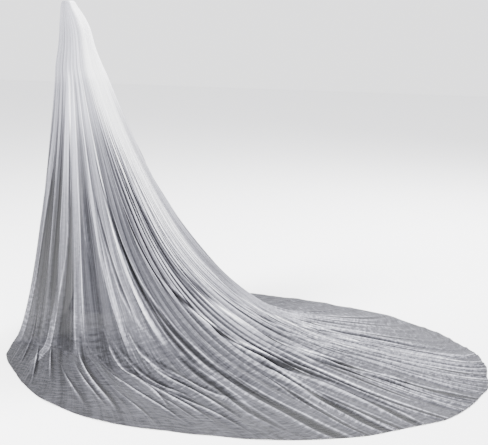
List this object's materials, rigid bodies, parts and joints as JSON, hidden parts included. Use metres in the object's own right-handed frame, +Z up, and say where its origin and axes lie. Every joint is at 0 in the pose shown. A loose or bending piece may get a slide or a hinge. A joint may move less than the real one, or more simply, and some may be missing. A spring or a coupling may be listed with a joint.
{
  "type": "bridal veil",
  "caption": "Cathedral length bridal veil of soft tulle, gathered on a hair comb at the crown and swept into an oval train on the floor",
  "frame": {"origin": "on the crown of the wearer's head, at the middle of the hair comb that holds the veil; the floor is 1.72 m below", "axes": "+Z up; the wearer faces -Y and the train runs to +Y; +X is the wearer's left"},
  "size_m": [1.9513, 2.3988, 1.7501],
  "materials": {
    "tulle": "soft sheer nylon net in silver white",
    "ribbon": "woven satin ribbon",
    "comb_plastic": "smooth pale plastic"
  },
  "bodies": {
    "root": {"veil_right_front": "tulle", "veil_right_side": "tulle", "veil_right_back": "tulle", "train_right": "tulle", "train_left": "tulle", "veil_left_back": "tulle", "veil_left_side": "tulle", "veil_left_front": "tulle", "binding": "ribbon", "comb": "comb_plastic"}
  },
  "joints": []
}
